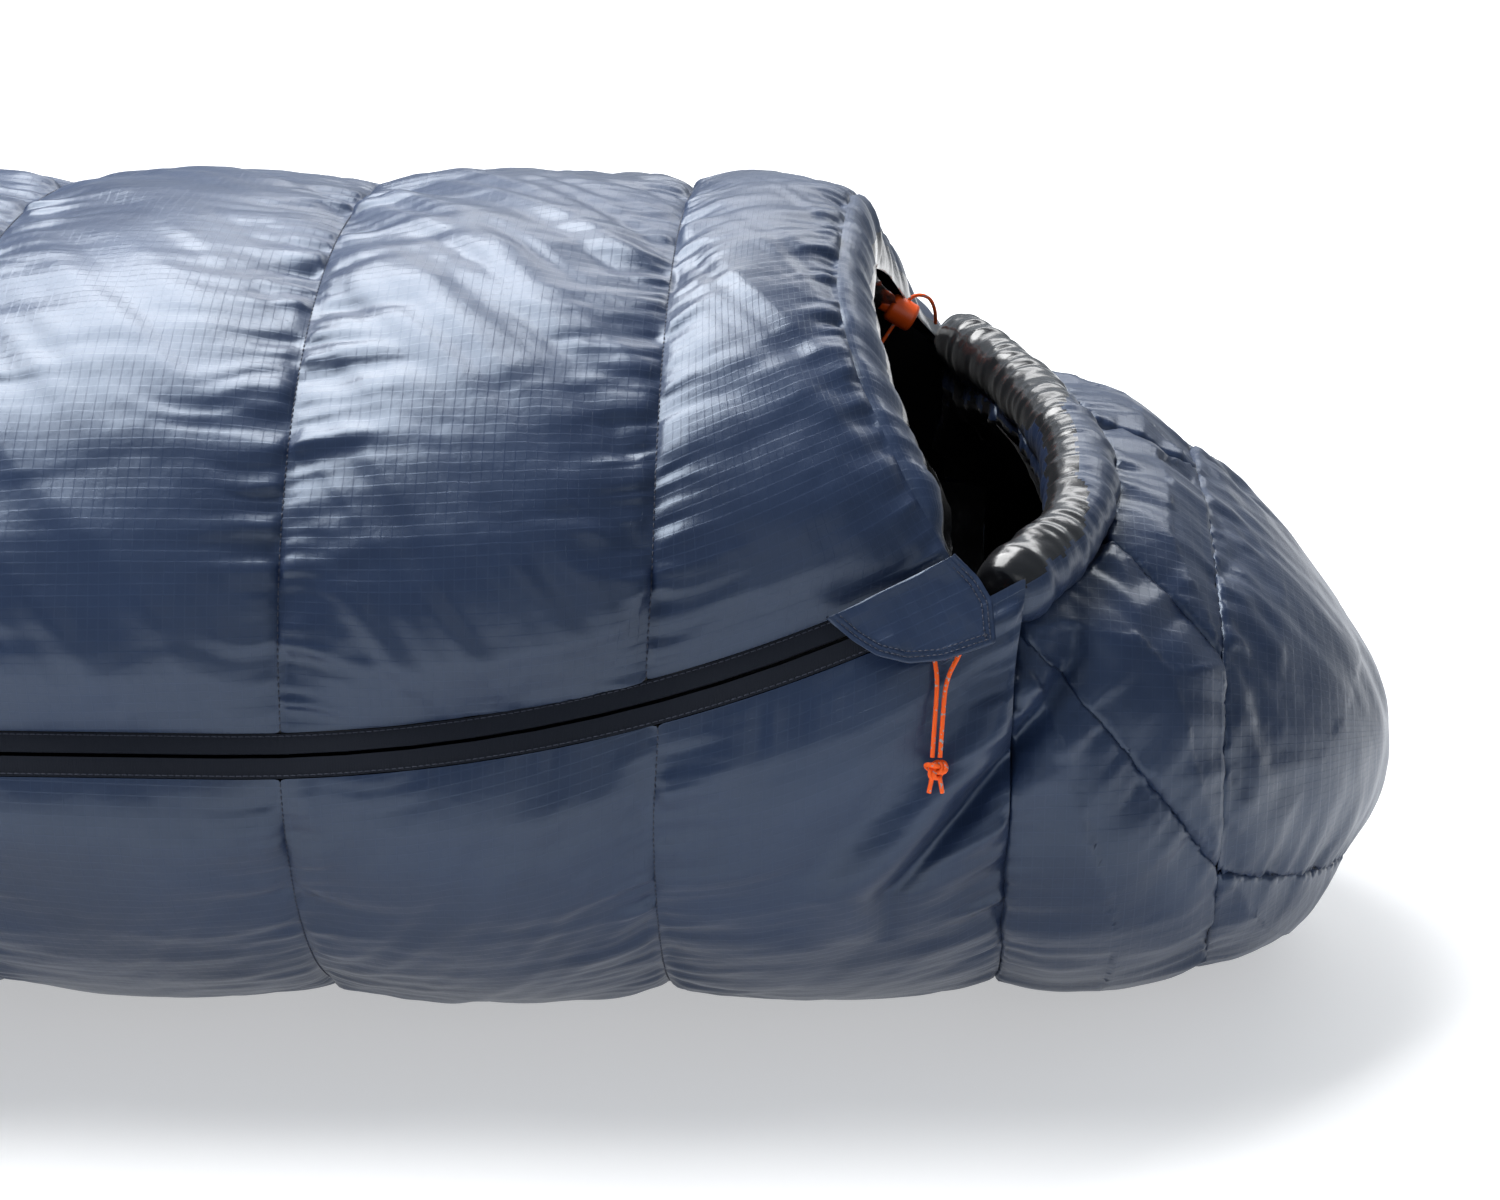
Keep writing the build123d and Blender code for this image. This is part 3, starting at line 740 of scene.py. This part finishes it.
def swell(piece, seams, height, reach, seed, rough=1.0):
    """Puffs a pad up away from its seams and puckers it along them."""
    points = points_of(piece)
    way = np.empty(points.size)
    piece.data.vertices.foreach_get("normal", way)
    hits = [seams.find_nearest(p) for p in points.tolist()]
    spot = np.array([tuple(h[0]) for h in hits])
    away = np.array([h[3] for h in hits])
    lift = height * (1 - np.exp(-((away / reach) ** 1.1))) + 0.0010 * np.exp(-((away / 0.003) ** 2))
    bent = spot + 0.003 * np.stack([lumps(points, 0.03, seed + k) for k in range(3)], 1)
    fold = (0.0011 * lumps(bent, 0.0055, seed + 4) * np.exp(-((away / 0.020) ** 1.4))
            + 0.0021 * lumps(bent, 0.011, seed + 5) * np.exp(-((away / 0.042) ** 1.6))
            + 0.0026 * lumps(bent, 0.024, seed + 6) * np.exp(-((away / 0.085) ** 2)))
    fold = fold * (0.6 + 0.4 * lumps(points, 0.06, seed + 7)) * np.clip(away / 0.002, 0, 1)
    loose = 0.0013 * lumps(points, 0.055, seed + 8) + 0.0004 * lumps(points, 0.018, seed + 9)
    loose = loose * np.clip(away / 0.02, 0, 1)
    points = points + way.reshape(-1, 3) * (lift + rough * (fold + loose))[:, None]
    points[:, 2] = np.maximum(points[:, 2], LOWEST)
    points = crease(points)
    piece.data.vertices.foreach_set("co", points.ravel())
    flat = np.stack([points[:, 0], np.arctan2(points[:, 1], points[:, 2] - 0.12) * 0.2], 1)
    loops = np.empty(len(piece.data.loops), int)
    piece.data.loops.foreach_get("vertex_index", loops)
    layer = piece.data.uv_layers.new(name="cut")
    layer.data.foreach_set("uv", flat[loops].ravel())
    piece.data.update()


for k, node in enumerate(PADS):
    pad = remeshed(node + "_pad", node, 0.0029)
    seams = surface_of([other for other in PADS if other != node] + ["base_baffle_01", "hood_rim"])
    swell(pad, seams, 0.004 if node == "hood_back" else 0.0085, 0.030, 600 + 20 * k, 1.7)
    set_paint(pad, shell, lining.made)
    inner = []
    for face in pad.data.polygons:
        inwards = Vector(((0.86 - face.center.x) * 0.6, -face.center.y, 0.13 - face.center.z))
        inner.append(1 if face.normal.dot(inwards) > 0 else 0)
    pad.data.polygons.foreach_set("material_index", inner)
    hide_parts(node)
    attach(pad, "root")

hood_lining = bpy.data.objects.new("hood_lining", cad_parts["lining_hood"].data.copy())
scene.collection.objects.link(hood_lining)
hood_lining.data.name = "hood_lining"
cutter = bmesh.new()
cutter.from_mesh(hood_lining.data)
for _ in range(6):
    long = [e for e in cutter.edges if e.calc_length() > 0.009]
    if not long:
        break
    bmesh.ops.subdivide_edges(cutter, edges=long, cuts=1, use_grid_fill=False)
    bmesh.ops.triangulate(cutter, faces=[f for f in cutter.faces if len(f.verts) > 4])
cutter.to_mesh(hood_lining.data)
cutter.free()
points = points_of(hood_lining)
inwards = np.array((0.84, 0, 0.13)) - points
inwards /= np.linalg.norm(inwards, axis=1)[:, None]
ease = np.clip((points[:, 0] - 0.815) / 0.02, 0, 1)
depth = 0.008 + 0.006 * lumps(points, 0.042, 700) + 0.002 * lumps(points, 0.013, 701)
points = points + inwards * (depth * ease)[:, None]
hood_lining.data.vertices.foreach_set("co", points.ravel())
hood_lining.data.polygons.foreach_set("use_smooth", [True] * len(hood_lining.data.polygons))
set_paint(hood_lining, lining.made)
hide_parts("lining_hood")
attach(hood_lining, "root")

# --- Rim of the hood ---------------------------------------------------------------------------
# A thick roll of down in shell fabric round the face, gathered by the cord inside it.
RIM = [(0.808, -0.236, 0.264), (0.850, -0.164, 0.276), (0.856, -0.064, 0.286), (0.834, 0.076, 0.290),
       (0.794, 0.202, 0.292)]


def eased(points, reach, step):
    """A line through straight runs, with each corner rounded off."""
    points = [Vector(p) for p in points]
    line = [points[0]]
    for before, corner, after in zip(points, points[1:], points[2:]):
        cut = min(reach, 0.45 * (corner - before).length, 0.45 * (after - corner).length)
        a, b = corner + (before - corner).normalized() * cut, corner + (after - corner).normalized() * cut
        line += [a * (1 - t) ** 2 + corner * 2 * t * (1 - t) + b * t * t for t in np.linspace(0, 1, 9)]
    line.append(points[-1])
    line = np.array([tuple(p) for p in line])
    gone = np.r_[0, np.cumsum(np.linalg.norm(np.diff(line, axis=0), axis=1))]
    at = np.linspace(0, gone[-1], max(4, round(gone[-1] / step)))
    return np.stack([np.interp(at, gone, line[:, k]) for k in range(3)], 1)


def rim_gathers(line, ring):
    place = line[:, None] * np.ones_like(ring)
    at = place + ring * 0.017
    gone = np.r_[0, np.cumsum(np.linalg.norm(np.diff(line, axis=0), axis=1))]
    ends = np.clip(np.minimum(gone, gone[-1] - gone) / 0.016, 0, 1)[:, None]
    fold = 0.085 * lumps(place + 0.25 * (at - place), 0.0105, 801)
    fold = fold + 0.045 * lumps(place + 0.3 * (at - place), 0.0052, 802)
    swelling = 1 + 0.14 * lumps(at, 0.040, 800) + fold + 0.015 * lumps(at, 0.005, 803)
    return (0.62 + 0.44 * ends ** 0.5) * swelling


rim = joined("hood_rim_roll", [tube_mesh(eased(RIM, 0.045, 0.0016), 0.0168, 56, rim_gathers)], shell)
rim.data.materials.append(lining.made)
turned_in = Vector((-0.55, -0.20, 0.80)).normalized()
for face in rim.data.polygons:
    least = np.interp(face.center.y, (-0.19, -0.14, -0.02, 0.05), (0.15, 0.86, 0.86, -0.10))
    face.material_index = 1 if face.normal.dot(turned_in) > least else 0
layer = rim.data.uv_layers.new(name="cut")
for loop in rim.data.loops:
    layer.data[loop.index].uv = ((loop.vertex_index // 56) * 0.0016, (loop.vertex_index % 56) * 0.0019)
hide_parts("hood_rim")
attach(rim, "root")

# --- Zip ---------------------------------------------------------------------------------------
# A reverse coil zip on dark woven tapes: the coils are behind, and the two tapes meet over them.
# One row of lockstitch along the outer edge of each tape holds it to the quilt.
tape = Paint("woven_tape", (0.0045, 0.007, 0.014), 0.66)
weave = tape.node("ShaderNodeTexWave", Scale=420.0, Distortion=0.6)
weave.bands_direction = "X"
tape.join(tape.coordinates(), weave.inputs["Vector"])
tape.raise_by(weave.outputs["Fac"], 0.00012, 0.7)
tape.raise_by(tape.noise(tape.coordinates(), 1200.0, 2.0), 0.0001, 0.6)
tape.skin.inputs["Specular IOR Level"].default_value = 0.25
coil = Paint("nylon_coil", (0.012, 0.014, 0.022), 0.38)
turns = coil.node("ShaderNodeTexWave", Scale=260.0)
turns.bands_direction = "X"
coil.join(coil.coordinates(), turns.inputs["Vector"])
coil.raise_by(turns.outputs["Fac"], 0.0006)
lacquer = Paint("black_lacquer", (0.012, 0.014, 0.022), 0.34)
lacquer.skin.inputs["Metallic"].default_value = 0.6
lacquer.raise_by(lacquer.noise(lacquer.coordinates(), 700.0, 2.0), 0.00005)
steel = Paint("plain_steel", (0.52, 0.53, 0.55), 0.33)
steel.skin.inputs["Metallic"].default_value = 1.0
brushed = steel.range(steel.noise(steel.coordinates(), 300.0), 0.3, 0.7, 0.26, 0.42)
steel.join(brushed, steel.skin.inputs["Roughness"])
for node, paint in (("zip_tape_upper", tape), ("zip_tape_lower", tape), ("zip_coil_upper", coil),
                    ("zip_coil_lower", coil), ("zip_stop_upper", steel), ("zip_stop_lower", steel),
                    ("zip_stop_foot", steel),
                    ("zip_slider", lacquer), ("zip_puller", lacquer), ("cord_lock_spring", steel)):
    set_paint(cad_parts[node], paint.made)

for sign, body in ((1, "lid"), (-1, "root")):
    stations = np.arange(-0.925, 0.764, 0.004)
    line = np.array([tuple(beside_zip(x, sign * 0.0094, 0.0006)) for x in stations])
    out = np.tile(np.array(OUTWARD), (len(line), 1))
    parts = stitches(line, out, 0.0024, 0.0032, 0.00026)
    row = joined(f"tape_stitches_{body}", parts, thread.made)
    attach(row, body)

# --- Flap over the end of the zip --------------------------------------------------------------
# Two layers of shell sewn to the top quilt along the upper edge, with a turned hem and two rows
# of stitching.
FLAP_AT, FLAP_OUT, FLAP_THICK = 0.768, 0.0140, 0.0024
angle = asin((FLAP_AT - ZIP_START) / ZIP_RADIUS)


def on_flap(t, s, out):
    """A point on the flap, measured along the zip, across it and out from it."""
    along = Vector((cos(angle), 0, 0)) + RISE * sin(angle)
    over = RISE * cos(angle) + Vector((-sin(angle), 0, 0))
    return beside_zip(FLAP_AT) + along * t + over * s + OUTWARD * out


leaf = np.array([(-41, 10), (-34, -5), (-27, -16), (-16, -25), (0, -31), (26, -34), (33, -15), (32, -2),
                 (27, 12)]) / 1000
wide, deep = 80, 30
low = evenly(np.c_[leaf, np.zeros(9)], wide)[0][:, :2]
low = np.r_[low[:1], (low[:-2] + 2 * low[1:-1] + low[2:]) / 4, low[-1:]]
high = np.linspace(leaf[0], leaf[-1], wide)
hung = np.linspace(0, 1, deep)[:, None, None]
flat = high[None] * (1 - hung) + low[None] * hung
reach = np.array([[min(np.hypot(*(low - p).T)) for p in row] for row in flat])
level = np.dstack([flat, 0 * reach])
bow = (0.0006 * np.clip(1 - reach / 0.0052, 0, 1) ** 0.3 + 0.0010 * lumps(level, 0.017, 900)
       + 0.0004 * lumps(level, 0.006, 901) - 0.0012 * hung[:, :, 0] ** 2
       - 0.0005 * np.exp(-(((reach - 0.0026) / 0.0005) ** 2))
       - 0.0004 * np.exp(-(((reach - 0.0052) / 0.0005) ** 2)))
front = np.array([[tuple(on_flap(t, s, FLAP_OUT + FLAP_THICK - 0.0002 + b)) for (t, s), b in zip(row, more)]
                  for row, more in zip(flat, bow)])
flap = grid_mesh("zip_flap_leaf", front, flat, flip=False)
towards = Vector(flap.data.polygons[len(flap.data.polygons) // 2].normal)
if towards.dot(OUTWARD) < 0:
    flap.data.flip_normals()
thick = flap.modifiers.new("two layers", "SOLIDIFY")
thick.thickness, thick.offset = 0.0016, -1
done = bpy.data.meshes.new_from_object(flap.evaluated_get(bpy.context.evaluated_depsgraph_get()))
flap.modifiers.clear()
flap.data = done
done.name = "zip_flap_leaf"
set_paint(flap, shell)
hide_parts("zip_flap")
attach(flap, "flap")
parts = []
centre = leaf.mean(0)
for inset in (0.0026, 0.0052):
    shrunk = []
    for k in range(1, wide - 1):
        way = low[k + 1] - low[k - 1]
        way = np.array((-way[1], way[0])) / np.linalg.norm(way)
        if way @ (centre - low[k]) < 0:
            way = -way
        shrunk.append(low[k] + way * inset)
    hemmed = np.array([place for place in shrunk if place[1] < 0.011])
    line = np.array([tuple(on_flap(t, s, FLAP_OUT + FLAP_THICK - 0.0001)) for t, s in hemmed])
    lift = 0.0010 * lumps(np.c_[hemmed, np.zeros(len(line))], 0.017, 900)
    line = line + np.array(OUTWARD) * (lift - 0.0006)[:, None]
    parts += stitches(line, np.tile(np.array(OUTWARD), (len(line), 1)), 0.0021, 0.0028, 0.00024, 0.0004)
hem = joined("flap_hem_stitches", parts, thread.made)
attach(hem, "flap")

# --- Pull cord ---------------------------------------------------------------------------------
# Braided orange cord, doubled through the puller's eye and closed by an overhand knot.
cord_paint = Paint("orange_braid", (0.84, 0.105, 0.008), 0.6)
where = cord_paint.coordinates()
fleck = cord_paint.noise(cord_paint.coordinates(), 520.0, 0.0)
tracer = cord_paint.range(fleck, 0.66, 0.70, 0, 1)
cord_paint.join(cord_paint.mix(tracer, (0.84, 0.105, 0.008), (0.30, 0.30, 0.31)),
                cord_paint.skin.inputs["Base Color"])
cord_paint.raise_by(cord_paint.noise(where, 1500.0, 1.0), 0.0002, 0.8)
cord_paint.skin.inputs["Specular IOR Level"].default_value = 0.3


def free_cord(name, route, diameter):
    """A braided cord that lies along a listed route, all in metres."""
    curve = bpy.data.curves.new(name, "CURVE")
    curve.dimensions, curve.use_fill_caps = "3D", True
    curve.bevel_depth, curve.bevel_resolution = diameter / 2, 4
    spline = curve.splines.new("NURBS")
    spline.points.add(len(route) - 1)
    for point, place in zip(spline.points, route):
        point.co = (*place, 1)
    spline.order_u, spline.use_endpoint_u = 3, True
    spline.resolution_u = 10
    made = bpy.data.objects.new(name, curve)
    scene.collection.objects.link(made)
    made.data.materials.append(cord_paint.made)
    return made


def overhand(centre, size, thick, strands, turned=0.0):
    """An overhand knot pulled tight, in one or two strands side by side."""
    parts = []
    for k in range(strands):
        t = np.linspace(0, 2 * pi, 90)
        x, y, z = np.sin(t) + 2 * np.sin(2 * t), np.cos(t) - 2 * np.cos(2 * t), -1.6 * np.sin(3 * t)
        side = (k - (strands - 1) / 2) * thick * 1.7
        ring = np.stack([x * size / 3 * cos(turned) + side, z * size / 3, y * size / 3], 1) + np.array(centre)
        parts.append(tube_mesh(ring, thick, 10))
    return parts


pull = free_cord("pull_cord_doubled", [
    (0.7772, -0.2824, 0.1980), (0.7782, -0.2790, 0.2160), (0.7792, -0.2755, 0.2340), (0.7779, -0.2728, 0.2420),
    (0.7774, -0.2725, 0.2459), (0.7731, -0.2702, 0.2512), (0.7721, -0.2673, 0.2553), (0.7800, -0.2655, 0.2588),
    (0.7875, -0.2637, 0.2620), (0.7898, -0.2660, 0.2580), (0.7928, -0.2689, 0.2527), (0.7890, -0.2715, 0.2450),
    (0.7830, -0.2755, 0.2340), (0.7818, -0.2790, 0.2160),
    (0.7808, -0.2824, 0.1980)], 0.0022)
parts = overhand((0.779, -0.2835, 0.1925), 0.0042, 0.0011, 2)
for lean in (-0.0016, 0.0016):
    end = [(0.779 + lean * (1 + k / 4), -0.2835, 0.1895 - 0.0022 * k) for k in range(5)]
    parts.append(tube_mesh(end, 0.0011, 12))
pull_knot = joined("pull_cord_overhand", parts, cord_paint.made)
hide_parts("pull_cord")
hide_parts("pull_cord_knot")
for piece in (pull, pull_knot):
    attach(piece, "puller")

# --- Cord lock and drawcord --------------------------------------------------------------------
# A moulded spring lock on the far end of the chin. The drawcord comes out of the rim, turns over
# into the lock and hangs inside the bag to a knot.
moulded = Paint("orange_moulding", (0.86, 0.10, 0.008), 0.36)
moulded.raise_by(moulded.noise(moulded.coordinates(), 900.0, 2.0), 0.00006)
worn = moulded.range(moulded.noise(moulded.coordinates(), 120.0), 0.3, 0.7, 0.31, 0.42)
moulded.join(worn, moulded.skin.inputs["Roughness"])
for node in ("cord_lock_body", "cord_lock_button"):
    set_paint(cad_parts[node], moulded.made)
spring = bpy.data.objects.new("lock_spring_coil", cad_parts["cord_lock_spring"].data.copy())
scene.collection.objects.link(spring)
spring.data.name = "lock_spring_coil"
set_paint(spring, steel.made)
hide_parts("cord_lock_spring")
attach(spring, "root")
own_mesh(spring)
draw = free_cord("drawcord_free", [
    (0.7824, 0.1900, 0.3028), (0.7824, 0.1800, 0.3124), (0.7780, 0.1677, 0.3240), (0.7680, 0.1642, 0.3253),
    (0.7628, 0.1632, 0.3165), (0.7575, 0.1621, 0.3073), (0.7390, 0.1550, 0.2810), (0.7290, 0.1490, 0.2540),
    (0.7270, 0.1470, 0.2240)], 0.0022)
end = [(0.727, 0.147, 0.2160 - 0.0022 * k) for k in range(5)]
draw_knot = joined("drawcord_overhand", overhand((0.727, 0.147, 0.218), 0.0042, 0.0011, 1)
                   + [tube_mesh(end, 0.0011, 12)], cord_paint.made)
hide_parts("drawcord")
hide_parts("drawcord_knot")
for piece in (draw, draw_knot):
    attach(piece, "root")
